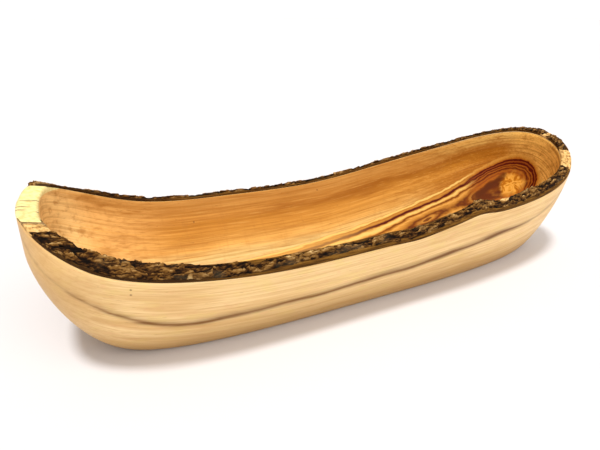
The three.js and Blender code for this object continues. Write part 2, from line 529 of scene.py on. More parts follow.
@dataclass
class WoodBody:
    """The carved block: its flat base, outside, rim, hollow and floor, as rings round the bowl."""

    spacing: float = 1.25
    wall_rings: int = 42
    rim_rings: int = 10
    floor_rings: int = 9
    edge_round: float = 0.55
    edge_share: float = 0.07
    foot_crowding: float = 1.5
    line_middle: float = 58.0
    line_radius: tuple[float, ...] = (
        *(68.0, 57.0, 50.3, 53.0, 54.9, 55.2, 56.4),
        *(56.8, 58.8, 62.6, 62.6, 68.0, 74.0),
    )
    heart_across: tuple[float, ...] = (1.6, 9.1, 16.6, 24.2, 31.4, 26.9, 26.3)
    heart_up: tuple[float, ...] = (0.8, -0.5, -0.2, 5.3, 13.9, 34.7, 46.4)
    heart_radius: tuple[float, ...] = (31.6, 25.4, 19.7, 16.0, 14.5, 14.7, 29.3)
    gold_middle: tuple[float, float, float] = (187.0, 18.0, 47.5)
    gold_size: float = 10.5
    wedge: tuple[tuple[float, float, float], ...] = ((182.5, 25.0, 54.5), (158.0, 29.5, 37.0))
    wedge_width: float = 2.6
    pale_streak: tuple[tuple[float, float, float], ...] = ((171.0, 24.0, 38.0), (184.5, 13.0, 39.0))
    pale_width: float = 1.7

    def rings(self) -> Array:
        """All rings, from the middle of the base by way of the rim to the middle of the hollow's floor.

        A ring of the outside is at the rim's height times a share to a power, so that the rings are closer at
        the foot, and the hollow's rings are the same above its floor.

        Returns:
            The points, by ring and round it.
        """
        angle = even_angles(0.0, 360.0, self.spacing)[0][:-1]
        outer = OUTSIDE.rim(LOG, angle, 0.0, cut=True)
        inner = HOLLOW.rim(LOG, angle, 0.0, cut=True)
        share = np.linspace(0.0, 1.0, self.wall_rings)[:, None] ** self.foot_crowding
        spread = np.linspace(0.05, 1.0, self.floor_rings)[:-1, None, None]
        outside = OUTSIDE.point(angle[None], share * outer[None, :, 2])
        hollow = HOLLOW.point(angle[None], blend(HOLLOW.foot, inner[None, :, 2], share[::-1]))
        base = outside[0] * spread
        floor = (hollow[-1] * [1, 1, 0]) * spread[::-1] + [0, 0, HOLLOW.foot]
        across = np.linspace(0.0, 1.0, self.rim_rings)[1:-1, None, None]
        rim = blend(outer[None], inner[None], across)
        x, y = rim[..., 0], rim[..., 1]
        top = np.minimum(LOG.height(x, y, 0.0), LOG.saw_plane(x, y))
        near_edge = np.minimum(across, 1.0 - across)[..., 0] / self.edge_share
        rim[..., 2] = top - self.edge_round * np.maximum(1.0 - near_edge, 0.0) ** 2
        outside[-1, :, 2] -= self.edge_round
        hollow[0, :, 2] -= self.edge_round
        return np.concatenate([base, outside, rim, hollow, floor])

    def marks(self, points: Array) -> dict[str, Array]:
        """Values that the wood's finish reads at each place.

        The growth value is the radius in the log, shifted along it so that the dark line of the outside is
        at one radius. The heart value is the distance from the heartwood's middle line, less its radius
        there, so it is 0 at the heartwood's border and negative within it. The gold value is a bump round
        the golden eye, and the wedge and pale values are bumps along a line on either side of it.

        Args:
            points: the surface's vertices.

        Returns:
            The values, by the name of the mark.
        """
        place = LOG.place_in_log(points)
        along = points[:, 0] / HALF_LENGTH
        warp = layered(points / [70.0, 26.0, 26.0], 3, Seed.WOOD_WARP)
        growth = place[:, 2] + self.line_middle - through(self.line_radius, along) + 1.3 * warp
        across = points[:, 1] - through(self.heart_across, along)
        up = points[:, 2] - through(self.heart_up, along)
        heart = np.hypot(across, up) - through(self.heart_radius, along) + 0.8 * warp
        ripple = layered(points / 5.0, 3, Seed.WOOD_RIPPLE)
        gold = bump(np.linalg.norm(points - self.gold_middle, axis=1) + 5.0 * ripple, self.gold_size)
        wedge = bump(distance_to_line(points, self.wedge) + 1.6 * ripple, self.wedge_width)
        pale = bump(distance_to_line(points, self.pale_streak) + 1.4 * ripple, self.pale_width)
        figure = {"heart": heart, "gold": gold, "wedge": wedge, "pale": pale}
        return {"log_place": place, "growth": growth, **figure}

    def build(self) -> bpy.types.Object:
        """Makes the closed surface, with a fan of triangles at the middle of the base and of the floor.

        Returns:
            The new object.
        """
        grid = self.rings()
        rings, columns = grid.shape[:2]
        points = np.concatenate([grid.reshape(-1, 3), [[0, 0, 0], [0, 0, HOLLOW.foot]]])
        faces = quads(rings, columns, False, True)
        column = np.arange(columns)
        following = (column + 1) % columns
        last = (rings - 1) * columns
        base_fan = np.stack([np.full(columns, rings * columns), following, column], -1)
        floor_fan = np.stack([np.full(columns, rings * columns + 1), last + column, last + following], -1)
        both = faces.tolist() + base_fan.tolist() + floor_fan.tolist()
        piece = write_mesh("olive_wood_bowl", points, both, self.marks(points))
        inside = piece.data.attributes.new("inside", "FLOAT", "FACE")
        first = (self.floor_rings - 1 + self.wall_rings + self.rim_rings - 2) * columns
        flags = np.zeros(len(both), np.float32)
        flags[first : len(faces)] = 1.0
        flags[-columns:] = 1.0
        inside.data.foreach_set("value", flags)
        return piece


# The bark.


@dataclass
class BarkLayer:
    """A layer of bark along the rim, as a closed section carried along it.

    A section runs up the outer side, across the top, down the inner side and back under. The sides follow
    the two sides of the wall, and the top follows the log. Where the log is higher than the saw cut, the
    layer ends a small depth under the cut, or its top stands clear of it by a share.
    """

    name: str
    run: tuple[float, float]
    foot: float
    thickness: float
    spacing: float
    side_rows: int
    top_rows: int
    end_taper: float
    stands_clear: float = 0.0
    under_saw: float = 0.3

    def section(self) -> tuple[Array, Array]:
        """The section's points, from the foot of its outer side.

        Returns:
            How far each point is across, from the outer side, and how far up, as shares.
        """
        side = np.linspace(0.0, 1.0, self.side_rows)[:-1]
        top = np.linspace(0.0, 1.0, self.top_rows)
        across = np.concatenate([0 * side, top, 0 * side + 1, [0.75, 0.25]])
        up = np.concatenate([side, 0 * top + 1, side[::-1], [0.0, 0.0]])
        return across, up

    def inset(self, x: Array, along: Array, side: Side, up: Array) -> Array:
        """How far a side stands back from the wall."""
        return np.zeros(np.broadcast_shapes(along.shape, up.shape))

    def relief(self, place: Array, y: Array, degrees: Array, across: Array) -> tuple[Array, dict[str, Array]]:
        """How far the top stands above its mean, and the marks for the finish."""
        return np.zeros(place.shape[:-1]), {}

    def build(self) -> bpy.types.Object:
        """Carries the section along the run and closes both ends.

        Returns:
            The new object.
        """
        angle, along = even_angles(*self.run, self.spacing)
        across, up = self.section()
        along = along[:, None]
        corners = [
            [wall.rim(LOG, angle, self.foot + level * self.thickness)[:, None] for level in (0.0, 1.0)]
            for wall in (OUTSIDE, HOLLOW)
        ]
        up3 = up[None, :, None]
        outer = blend(*corners[0], up3)
        inner = blend(*corners[1], up3)
        width = np.linalg.norm(outer - inner, axis=-1)
        start = self.inset(outer[..., 0], along, Side.OUTER, up[None]) / width
        stop = 1.0 - self.inset(outer[..., 0], along, Side.INNER, up[None]) / width
        points = blend(outer, inner, blend(start, stop, across[None])[..., None])
        place = LOG.place_in_log(points)
        relief, marks = self.relief(place, points[..., 1], np.degrees(angle)[:, None], across[None])
        ends = np.minimum(along - along[0], along[-1] - along)
        swell = ease(0.0, self.end_taper, ends)
        thickness = self.foot + up[None] * (self.thickness * blend(0.15, 1.0, swell) + relief * swell)
        height = LOG.height(points[..., 0], points[..., 1], thickness)
        sawn = np.minimum(height, LOG.saw_plane(points[..., 0], points[..., 1]) - self.under_saw)
        points[..., 2] = blend(sawn, height, up[None] * self.stands_clear)
        marks["log_place"] = place
        columns, rows = points.shape[:2]
        faces = tube_faces(columns, rows)
        flat = np.concatenate([points.reshape(-1, 3), points[[0, -1]].mean(axis=1)])
        for mark, values in marks.items():
            size = values.shape[2:]
            values = np.broadcast_to(values, (columns, rows, *size)).reshape(-1, *size)
            marks[mark] = np.concatenate([values, values[[0, -1]]])
        return write_mesh(self.name, flat, faces, marks)


@dataclass
class InnerBark(BarkLayer):
    """The smooth inner bark, with rounded shoulders, and crumbling where the outer bark has broken away."""

    shoulder: float = 0.5
    bare_runs: tuple[tuple[float, float], ...] = ((180.0, 195.0), (334.5, 348.5), (360.0, 364.0))
    notch: tuple[float, float] = (298.0, 304.5)
    ridge_height: float = 0.28
    crumb_height: float = 0.75
    ridge_cells: tuple[float, float, float] = (22.0, 3.0, NO_CHANGE)
    crumb_cells: tuple[float, float, float] = (3.2, 2.0, NO_CHANGE)
    scorch_cells: tuple[float, float, float] = (2.0, 6.0, NO_CHANGE)

    def inset(self, x: Array, along: Array, side: Side, up: Array) -> Array:
        """The sides lean in towards the top: the shoulder's size times the height to the power 3."""
        return self.shoulder * up**3 * np.ones_like(along)

    def relief(self, place: Array, y: Array, degrees: Array, across: Array) -> tuple[Array, dict[str, Array]]:
        """Low lengthwise ridges, from noise stretched along the log, and crumbs on the bare runs.

        Args:
            place: places in the log.
            y: places across the bowl.
            degrees: the angle of each section.
            across: how far each point is across the layer, from its outer side, as a share.

        Returns:
            How far the top stands above its mean, and the marks for the finish.
        """
        wander = degrees + 0.9 * layered(place / 3.0, 3, Seed.BARE_EDGE)
        bare = np.zeros(place.shape[:-1])
        for start, stop in (*self.bare_runs, self.notch):
            inner_only = 1.0 if start != self.notch[0] else ease(0.35, 0.5, across)
            begun = ease(start - 0.5, start + 0.5, wander)
            ended = ease(stop - 0.5, stop + 0.5, wander)
            bare += begun * (1.0 - ended) * inner_only
        ridges = layered(place / self.ridge_cells, 3, Seed.RIDGES)
        crumbs = layered(place / self.crumb_cells, 4, Seed.CRUMBS)
        scorch = ease(192.5, 189.5, degrees + 1.5 * layered(place / self.scorch_cells, 3, Seed.SCORCH))
        relief = self.ridge_height * ridges + self.crumb_height * bare * crumbs
        return relief, {"bare": bare, "scorch": scorch}


@dataclass
class OuterBark(BarkLayer):
    """Rough outer bark: long leaning plates with deep furrows between them, and crumbling edges.

    A setback is how far an edge stands back from the wall. The real bark's finest crumbs are too small to
    show, so the crumbs are drawn coarser than real.
    """

    lump_height: float = 0.0
    lump_place: tuple[float, float, float] = (207.0, 15.5, 8.5)
    notch: tuple[float, float, float] = (99.0, 9.0, 4.2)
    chip: tuple[float, float, float] = (-98.0, 4.0, 2.6)
    pale_end: float = 374.5
    setback: tuple[float, float] = (0.5, 2.6)
    corner_setback: float = 7.5
    plate_length: float = 14.0
    plate_width: float = 3.2
    plate_height: float = 2.0
    small_plate_cells: tuple[float, float, float] = (5.0, 1.5, 1.0)
    furrow_cells: tuple[float, float, float] = (24.0, 4.6, 1.0)
    crumb_cells: tuple[float, float, float] = (6.0, 1.7, 1.0)
    bend_size: float = 7.0
    mean_height: float = 0.36

    def inset(self, x: Array, along: Array, side: Side, up: Array) -> Array:
        """The crumbled edges: a mean setback and noise along the run, more at the top than at the foot.

        On the inner side of the front, a notch and a chip are smooth bumps along x. At the sawn corner of the
        back, the inner side stands back so far that only a strip along the outer edge is left.

        Args:
            x: places along the bowl.
            along: how far each section is along the run.
            side: the side of the wall.
            up: how far up the section each point is, as a share.

        Returns:
            How far the side stands back from the wall.
        """
        shape = np.broadcast_shapes(along.shape, up.shape)
        cells = (along / 5.0, up * 1.2, 0.0)
        points = np.stack([np.broadcast_to(cell, shape) for cell in cells], -1)
        crumble = layered(points, 5, Seed.CRUMBLED_EDGE + side.value)
        if side is Side.OUTER:
            mean = blend(self.setback[0], self.setback[1], ease(-120.0, -60.0, x))
            return np.maximum(mean * blend(0.6, 1.2, up) + 1.2 * crumble, 0.05)
        worn = ease(-150.0, -110.0, x) * (1.0 - ease(40.0, 80.0, x)) * (self.run[0] < 200.0)
        setback = (0.35 + 2.0 * worn) * blend(0.6, 1.0, up) + 1.1 * crumble
        if self.run[0] < 200.0:
            for middle, size, depth in (self.notch, self.chip):
                setback = setback + depth * bump(x - middle, size)
        else:
            setback = setback + self.corner_setback * ease(-170.0, -190.0, x)
        return np.maximum(setback, -0.5)

    def relief(self, place: Array, y: Array, degrees: Array, across: Array) -> tuple[Array, dict[str, Array]]:
        """Plates, furrows and crumbs, each from noise in log coordinates.

        A plate's height is random and it leans a random way, so that one side stands up and the other is
        overlapped. Between plates the surface falls to the furrow by the distance from the plate's edge. Long
        furrows follow the places where a stretched noise is near 0.

        Args:
            place: places in the log.
            y: places across the bowl.
            degrees: the angle of each section.
            across: how far each point is across the layer, from its outer side, as a share.

        Returns:
            How far the top stands above its mean, and the marks for the finish.
        """
        flat = place * [1.0, 1.0, 0.0]
        bends = [layered(flat / self.bend_size, 3, seed) for seed in (Seed.BEND_ALONG, Seed.BEND_ROUND)]
        bend = np.stack([*bends, 0 * place[..., 0]], -1)
        plate_cells = (self.plate_length, self.plate_width, 1.0)
        edge, owner, lean = plates((flat + 3.0 * bend) / plate_cells, Seed.PLATES)
        small = plates((flat + 1.6 * bend) / self.small_plate_cells, Seed.SMALL_PLATES)
        small_edge, small_owner, small_lean = small
        plate = ease(0.0, 0.12, edge) * np.clip(0.35 + 0.4 * owner + 0.9 * lean, 0.0, 1.0)
        scale = ease(0.0, 0.18, small_edge) * np.clip(0.3 + 0.4 * small_owner + 0.8 * small_lean, 0.0, 1.0)
        furrow = np.abs(layered((flat + 2.4 * bend) / self.furrow_cells, 2, Seed.FURROWS))
        crumb = 0.5 + 0.5 * layered((flat + bend) / self.crumb_cells, 4, Seed.BARK_CRUMBS)
        height = (0.42 * plate + 0.28 * scale + 0.30 * crumb) * blend(0.3, 1.0, ease(0.0, 0.11, furrow))
        x0, y0, size = self.lump_place
        lump = self.lump_height * bump(place[..., 0] - x0, size) * bump(y - y0, size)
        pale = (degrees < self.pale_end + 2.0 * crumb) * (self.lump_height > 0) * np.ones_like(crumb)
        broken_edge = 0.6 * (degrees > 512.0) * (across > 0.99) * np.ones_like(crumb)
        pale = np.maximum(pale, broken_edge)
        return self.plate_height * (height - self.mean_height) + lump * (0.72 + 0.5 * crumb), {
            "relief": height,
            "tone": 0.5 * (owner + small_owner),
            "pale": pale,
        }


@dataclass
class BarkFlakes:
    """Loose flakes of bark that stand a little off the crust, as thin warped spindles in one mesh."""

    name: str
    run: tuple[float, float]
    count: int
    seed: int
    columns: int = 9
    rows: int = 12
    length: tuple[float, float] = (4.0, 13.0)
    width: tuple[float, float] = (1.1, 2.8)
    thickness: float = 0.36
    lift: float = 2.2

    def build(self) -> bpy.types.Object:
        """Scatters the flakes over the run.

        A flake's half width is its width times the root of 1 less the fourth power of the share of its
        length, and its section is a flattened circle, bent down at both edges by the square of the offset.

        Returns:
            The new object.
        """
        luck = np.random.default_rng(self.seed).random((self.count, 8))
        angle = np.interp(luck[:, 0], *even_angles_share(*self.run))
        outer = OUTSIDE.rim(LOG, angle, self.lift)
        inner = HOLLOW.rim(LOG, angle, self.lift)
        forward = OUTSIDE.rim(LOG, angle + 0.01, self.lift) - outer
        forward /= np.linalg.norm(forward, axis=1, keepdims=True)
        across = inner - outer
        across -= forward * np.sum(across * forward, axis=1, keepdims=True)
        room = np.linalg.norm(across, axis=1, keepdims=True)
        across /= room
        upward = np.cross(forward, across)
        upward *= np.sign(upward[:, 2:])
        turn = (luck[:, 1:2] - 0.5) * 0.45
        lean = (luck[:, 2:3] - 0.5) * 0.9
        pitch = (luck[:, 3:4] - 0.5) * 0.3
        ahead = forward * np.cos(turn) + across * np.sin(turn) + upward * pitch
        aside = across * np.cos(turn) - forward * np.sin(turn)
        aside = aside * np.cos(lean) + upward * np.sin(lean)
        normal = np.cross(ahead, aside)
        middle = blend(outer, inner, 0.2 + 0.42 * luck[:, 4:5])
        share = np.linspace(-1.0, 1.0, self.columns)[None, :, None]
        round_ = np.linspace(0.0, 2.0 * np.pi, self.rows, endpoint=False)[None, None]
        half_length = blend(*self.length, luck[:, 5, None, None]) / 2.0
        half_width = blend(*self.width, luck[:, 6, None, None]) / 2.0
        seeds = np.stack([share + 0 * round_, 0 * share + np.sin(round_), 0 * share + np.cos(round_)], -1)
        ragged = layered(seeds * [2.2, 1.3, 1.3] + 37.0 * luck[:, None, None, :3], 3, Seed.FLAKE_SHAPE)
        profile = np.sqrt(1.0 - 0.985 * np.abs(share) ** 4)
        offset = half_width * profile * np.cos(round_) * (1.0 + 0.35 * ragged)
        height = self.thickness * profile * np.sin(round_) - 0.09 * offset**2 + 0.35 * ragged
        grid = middle[:, None, None] + (ahead[:, None, None] * (half_length * share + 0 * round_)[..., None])
        grid = grid + aside[:, None, None] * offset[..., None] + normal[:, None, None] * height[..., None]
        single = np.array(tube_triangles(self.columns, self.rows))[:, ::-1]
        size = self.columns * self.rows + 2
        caps = grid[:, [0, -1]].mean(axis=2)
        points = np.concatenate([grid.reshape(self.count, -1, 3), caps], axis=1)
        faces = (single[None] + size * np.arange(self.count)[:, None, None]).reshape(-1, 3)
        flat = points.reshape(-1, 3)
        tone = np.repeat(luck[:, 7], size)
        relief = 0.3 + 0.12 * tone + 0.25 * layered(flat / [4.0, 1.6, 1.6], 3, Seed.FLAKE_SURFACE)
        marks = {"log_place": LOG.place_in_log(flat), "relief": relief, "tone": tone}
        marks["pale"] = 0.0 * tone
        return write_mesh(self.name, flat, faces.tolist(), marks)


# Finishes.


def linear(colour: str) -> tuple[float, float, float, float]:
    """Turns an sRGB colour into linear light, with full opacity.

    Args:
        colour: the colour in hex.

    Returns:
        Each part over 12.92 if it is dark, or else to the power 2.4 once 0.055 is added and 1.055 divides it.
    """
    parts = np.array([int(colour[place : place + 2], 16) for place in (1, 3, 5)]) / 255.0
    light = np.where(parts <= 0.04045, parts / 12.92, ((parts + 0.055) / 1.055) ** 2.4)
    return (*light.tolist(), 1.0)


def shares(stops: tuple[tuple[float, str], ...], span: tuple[float, float]) -> tuple[tuple[float, str], ...]:
    """A ramp's stops with their places as shares of a span, from places in millimetres."""
    return tuple(((place - span[0]) / (span[1] - span[0]), colour) for place, colour in stops)


def add(
    tree: bpy.types.NodeTree,
    kind: str,
    inputs: dict[Any, Any],
    output: Any = 0,
    stops: tuple[tuple[float, str], ...] = (),
    **settings: Any,
) -> bpy.types.NodeSocket:
    """Adds a node with its settings and links.

    Args:
        tree: the material's node tree.
        kind: the node's type, without the ShaderNode before it.
        inputs: for each input, by name or number, a value or the output that feeds it.
        output: the output that is wanted, by name or number.
        stops: the places and hex colours of its ramp, in order, where it has one.
        settings: the node's own settings.

    Returns:
        The wanted output of the new node.
    """
    node = tree.nodes.new(f"ShaderNode{kind}")
    for name, value in settings.items():
        setattr(node, name, value)
    for socket, value in inputs.items():
        if isinstance(value, bpy.types.NodeSocket):
            tree.links.new(value, node.inputs[socket])
        else:
            node.inputs[socket].default_value = value
    if stops:
        elements = node.color_ramp.elements
        elements.remove(elements[1])
        elements[0].position, elements[0].color = stops[0][0], linear(stops[0][1])
        for place, colour in stops[1:]:
            elements.new(place).color = linear(colour)
    return node.outputs[output] if node.outputs else node


@dataclass(frozen=True)
class Grain:
    """A noise pattern: its cells' size in millimetres along, round and out of the log, and its detail."""

    name: str
    along: float
    around: float
    outward: float
    detail: float = 3.0


@dataclass(frozen=True)
class Finish:
    """A material that is built from nodes."""

    name: str
    roughness: float
    ior: float

    def start(self, marks: tuple[str, ...]) -> tuple[bpy.types.Material, dict[str, bpy.types.NodeSocket]]:
        """Starts the material.

        Args:
            marks: the names of its mesh's marks.

        Returns:
            The new material, and an output for each mark and for the place in the log.
        """
        material = bpy.data.materials.new(self.name)
        material.use_nodes = True
        tree = material.node_tree
        tree.nodes.clear()
        values = {mark: add(tree, "Attribute", {}, "Fac", attribute_name=mark) for mark in marks}
        values["place"] = add(tree, "Attribute", {}, "Vector", attribute_name="log_place")
        return material, values

    def grow(self, tree: bpy.types.NodeTree, place: Any, grains: tuple[Grain, ...]) -> dict[str, Any]:
        """Adds each grain as a noise on the place in the log, scaled by the sizes of its cells.

        Args:
            tree: the material's node tree.
            place: the output that gives the place in the log.
            grains: the patterns.

        Returns:
            Each pattern's output, by its name.
        """
        patterns = {}
        for number, grain in enumerate(grains):
            scale = (1.0 / grain.along, 1.0 / grain.around, 1.0 / grain.outward)
            shift = (7.3 * number, 5.1 * number, 3.7 * number)
            at = add(tree, "Mapping", {"Vector": place, "Location": shift, "Scale": scale})
            inputs = {"Vector": at, "Scale": 1.0, "Detail": grain.detail, "Roughness": 0.6}
            patterns[grain.name] = add(tree, "TexNoise", inputs)
        return patterns

    def stain(self, tree: bpy.types.NodeTree, colour: Any, layers: tuple[tuple[Any, ...], ...]) -> Any:
        """Lays colours over a colour, one by one.

        Args:
            tree: the node tree.
            colour: the output that gives the first colour.
            layers: for each, the output that drives it, the range over which its share rises or falls from 0
                to its most, its most, and its colour in hex or as an output.

        Returns:
            The output that gives the last colour.
        """
        for value, low, high, most, paint in layers:
            ranges = {"Value": value, "From Min": low, "From Max": high, "To Max": most}
            share = add(tree, "MapRange", ranges, interpolation_type="SMOOTHSTEP")
            top = linear(paint) if isinstance(paint, str) else paint
            colour = add(tree, "Mix", {0: share, 6: colour, 7: top}, 2, data_type="RGBA")
        return colour

    def end(self, tree: bpy.types.NodeTree, colour: Any, roughness: Any, height: Any, relief: float) -> None:
        """Adds the shader, its bump and the output.

        Args:
            tree: the node tree.
            colour: the output that gives the base colour.
            roughness: a number or an output.
            height: the output that gives the bump's height.
            relief: the bump's depth in millimetres.
        """
        lift = add(tree, "Bump", {"Height": height, "Distance": relief * METRES, "Strength": 1.0})
        inputs = {"Base Color": colour, "Roughness": roughness, "IOR": self.ior, "Normal": lift}
        shader = add(tree, "BsdfPrincipled", inputs)
        add(tree, "OutputMaterial", {"Surface": shader})


@dataclass(frozen=True)
class OliveWood(Finish):
    """Olive wood, sanded fine and oiled: a satin sheen, cream sapwood outside and honey-coloured wood inside.

    The hollow's colours and its brown band are given at shares of a range of radii in the log, and the brown
    line's strength outside at radii there. The heartwood's two figures, the stripes along the
    bowl and the arches at its round end, are given at distances from the heartwood's border, outwards. The
    real fibres and pores are too fine to show, so both are drawn coarser than real.
    """

    grains: tuple[Grain, ...] = (
        Grain("ring", 380.0, 80.0, 2.4, 2.0),
        Grain("arc", 300.0, 90.0, 1.3, 3.0),
        Grain("fibre", 30.0, 1.7, 0.8),
        Grain("streak", 110.0, 6.0, 5.0),
        Grain("cloud", 80.0, 22.0, 11.0),
        Grain("ripple", 3.2, 14.0, 30.0, 2.0),
        Grain("fleck", 5.0, 0.9, 0.9, 1.0),
        Grain("wave", 55.0, 26.0, 9.0),
        Grain("blotch", 7.0, 5.0, 5.0, 4.0),
        Grain("pool", 14.0, 9.0, 9.0, 2.0),
    )
    pin_holes: tuple[tuple[float, float, float], ...] = (
        (-162.5, -54.5, 61.9),
        (-162.7, -53.4, 58.4),
        (-102.6, 50.5, 49.8),
        (2.1, 53.2, 58.5),
    )
    cracks: tuple[tuple[float, float, float], ...] = (
        (-203.0, 11.2, 7.0),
        (-208.0, 1.2, 5.0),
        (-208.0, -4.6, 4.0),
        (-199.3, -7.5, 1.2),
    )
    crack_width: float = 0.6
    line_span: tuple[float, float] = (53.0, 65.0)
    line: tuple[tuple[float, str], ...] = (
        (54.5, "#000000"),
        (56.0, "#909090"),
        (57.0, "#C8C8C8"),
        (58.0, "#FFFFFF"),
        (58.5, "#FFFFFF"),
        (59.5, "#D0D0D0"),
        (61.0, "#A0A0A0"),
        (63.0, "#606060"),
        (65.0, "#000000"),
    )
    depths: tuple[tuple[float, str], ...] = (
        (0.04, "#D4C08C"),
        (0.14, "#D4B876"),
        (0.30, "#D29E50"),
        (0.45, "#BE8434"),
        (0.56, "#BA7E2E"),
        (0.64, "#B47828"),
        (0.76, "#B67C34"),
        (0.90, "#BA8440"),
    )
    band: tuple[tuple[float, str], ...] = (
        (0.04, "#000000"),
        (0.22, "#C0C0C0"),
        (0.40, "#FFFFFF"),
        (0.55, "#B0B0B0"),
        (0.80, "#000000"),
    )
    figure_span: tuple[float, float] = (-26.0, 6.5)
    stripes: tuple[tuple[float, Tone], ...] = (
        (-26.0, Tone.TAN),
        (-18.5, Tone.TAN),
        (-18.0, Tone.UMBER),
        (-17.0, Tone.TAN),
        (-15.5, Tone.TAN),
        (-15.0, Tone.CHESTNUT),
        (-14.5, Tone.TAN),
        (-12.5, Tone.UMBER),
        (-12.0, Tone.AMBER),
        (-10.5, Tone.CHESTNUT),
        (-10.0, Tone.UMBER),
        (-9.0, Tone.TAN),
        (-8.0, Tone.AMBER),
        (-7.0, Tone.HONEY),
        (-6.0, Tone.TAN),
        (-5.5, Tone.CHESTNUT),
        (-5.0, Tone.CHESTNUT),
        (-4.5, Tone.AMBER),
        (-3.5, Tone.GOLD),
        (-2.5, Tone.GOLD),
        (-1.5, Tone.TAN),
        (-1.0, Tone.OXBLOOD),
        (0.5, Tone.OXBLOOD),
        (1.0, Tone.TAN),
        (2.0, Tone.AMBER),
        (3.0, Tone.TAN),
        (3.5, Tone.AMBER),
        (4.0, Tone.GOLD),
        (5.0, Tone.GOLD),
        (5.5, Tone.TAN),
        (6.5, Tone.AMBER),
    )
    arches: tuple[tuple[float, Tone], ...] = (
        (-26.0, Tone.AMBER),
        (-21.0, Tone.TAN),
        (-18.5, Tone.CHESTNUT),
        (-17.0, Tone.UMBER),
        (-13.5, Tone.UMBER),
        (-12.0, Tone.CHESTNUT),
        (-11.0, Tone.RUSSET),
        (-9.5, Tone.RUSSET),
        (-8.5, Tone.RUST),
        (-7.0, Tone.RUSSET),
        (-5.5, Tone.OXBLOOD),
        (-4.5, Tone.RUSSET),
        (-3.5, Tone.OXBLOOD),
        (-2.5, Tone.RUSSET),
        (-2.0, Tone.OXBLOOD),
        (-1.0, Tone.OXBLOOD),
        (-0.5, Tone.RUST),
        (0.0, Tone.RUST),
        (0.5, Tone.OXBLOOD),
        (1.5, Tone.OXBLOOD),
        (2.0, Tone.RUSSET),
        (3.5, Tone.AMBER),
        (6.5, Tone.HONEY),
    )

    def sapwood(
        self, tree: bpy.types.NodeTree, values: dict[str, Any], grain: dict[str, Any], wave: Any
    ) -> Any:
        """The outside: cream with soft growth rings, one brown line that fades upwards, and painted shade at
        the foot and the sawn end.

        Args:
            tree: the material's node tree.
            values: the outputs of the mesh's marks.
            grain: the outputs of the grain patterns.
            wave: the output of the wood's slow wave, from about -0.5 to 0.5.

        Returns:
            The output that gives the colour.
        """
        stops = ((0.3, "#E4C188"), (0.44, "#F0D098"), (0.5, "#E1BC81"), (0.56, "#EFCE95"), (0.7, "#F2D49C"))
        colour = add(tree, "ValToRGB", {0: grain["ring"]}, stops=stops)
        wander = {0: wave, 1: 4.0, 2: values["growth"]}
        ring = add(tree, "Math", wander, operation="MULTIPLY_ADD")
        low, high = self.line_span
        place = add(tree, "MapRange", {"Value": ring, "From Min": low, "From Max": high})
        line = add(tree, "ValToRGB", {0: place}, stops=shares(self.line, self.line_span))
        uneven = {"Value": grain["streak"], "From Min": 0.3, "From Max": 0.6, "To Min": 0.6, "To Max": 1.0}
        line = add(tree, "Math", {0: line, 1: add(tree, "MapRange", uneven)}, operation="MULTIPLY")
        x = add(tree, "SeparateXYZ", {0: values["place"]})
        for start, stop, least in ((160.0, 100.0, 0.45), (-200.0, -165.0, 0.35)):
            faint = add(tree, "MapRange", {"Value": x, "From Min": start, "From Max": stop, "To Min": least})
            line = add(tree, "Math", {0: line, 1: faint}, operation="MULTIPLY")
        height = add(tree, "SeparateXYZ", {0: add(tree, "TexCoord", {}, "Object")}, "Z")
        layers = (
            (grain["blotch"], 0.52, 0.72, 0.3, "#E6AE84"),
            (grain["pool"], 0.52, 0.30, 0.35, "#E8D080"),
            (grain["cloud"], 0.48, 0.75, 0.5, "#CC9C5C"),
            (grain["streak"], 0.46, 0.72, 0.4, "#C79A5C"),
            (grain["fibre"], 0.45, 0.8, 0.45, "#BC8E52"),
            (grain["fleck"], 0.72, 0.8, 0.35, "#8A5C30"),
            # Painted shade: the outside darkens towards the sawn end, from x -160 to -200 mm.
            (x, -160.0, -200.0, 0.6, "#C69C60"),
            # Painted shade: the outside turns browner towards the foot, from 34 mm down to 5 mm above the
            # floor.
            (height, 0.034, 0.005, 0.62, "#A2763A"),
            (line, 0.0, 1.0, 0.95, "#6C4010"),
        )
        return self.stain(tree, colour, layers)

    def heartwood(
        self, tree: bpy.types.NodeTree, values: dict[str, Any], grain: dict[str, Any], wave: Any
    ) -> tuple[Any, Any]:
        """The dark figure inside: long lines along the bowl that turn into arches round a golden eye.

        Args:
            tree: the material's node tree.
            values: the outputs of the mesh's marks.
            grain: the outputs of the grain patterns.
            wave: the output of the wood's slow wave, from about -0.5 to 0.5.

        Returns:
            The outputs of the distance from the heartwood's border, outwards, and of the colour.
        """
        wander = {0: wave, 1: 4.0, 2: values["heart"]}
        figure = add(tree, "Math", wander, operation="MULTIPLY_ADD")
        small = add(tree, "Math", {0: grain["pool"], 1: 0.5}, operation="SUBTRACT")
        figure = add(tree, "Math", {0: small, 1: 2.8, 2: figure}, operation="MULTIPLY_ADD")
        low, high = self.figure_span
        share = add(tree, "MapRange", {"Value": figure, "From Min": low, "From Max": high})
        stripes = add(tree, "ValToRGB", {0: share}, stops=shares(self.stripes, self.figure_span))
        arches = add(tree, "ValToRGB", {0: share}, stops=shares(self.arches, self.figure_span))
        stops = (
            (0.30, "#8C4C06"),
            (0.40, "#B87010"),
            (0.47, "#DC9A34"),
            (0.54, "#E8AC4C"),
            (0.61, "#E2A03A"),
            (0.70, "#A86208"),
        )
        where = add(tree, "TexCoord", {}, "Object")
        inputs = {"Vector": where, "Scale": 130.0, "Detail": 2.0, "Distortion": 1.2}
        swirl = add(tree, "TexNoise", inputs)
        eye = add(tree, "ValToRGB", {0: swirl}, stops=stops)
        x = add(tree, "SeparateXYZ", {0: values["place"]})
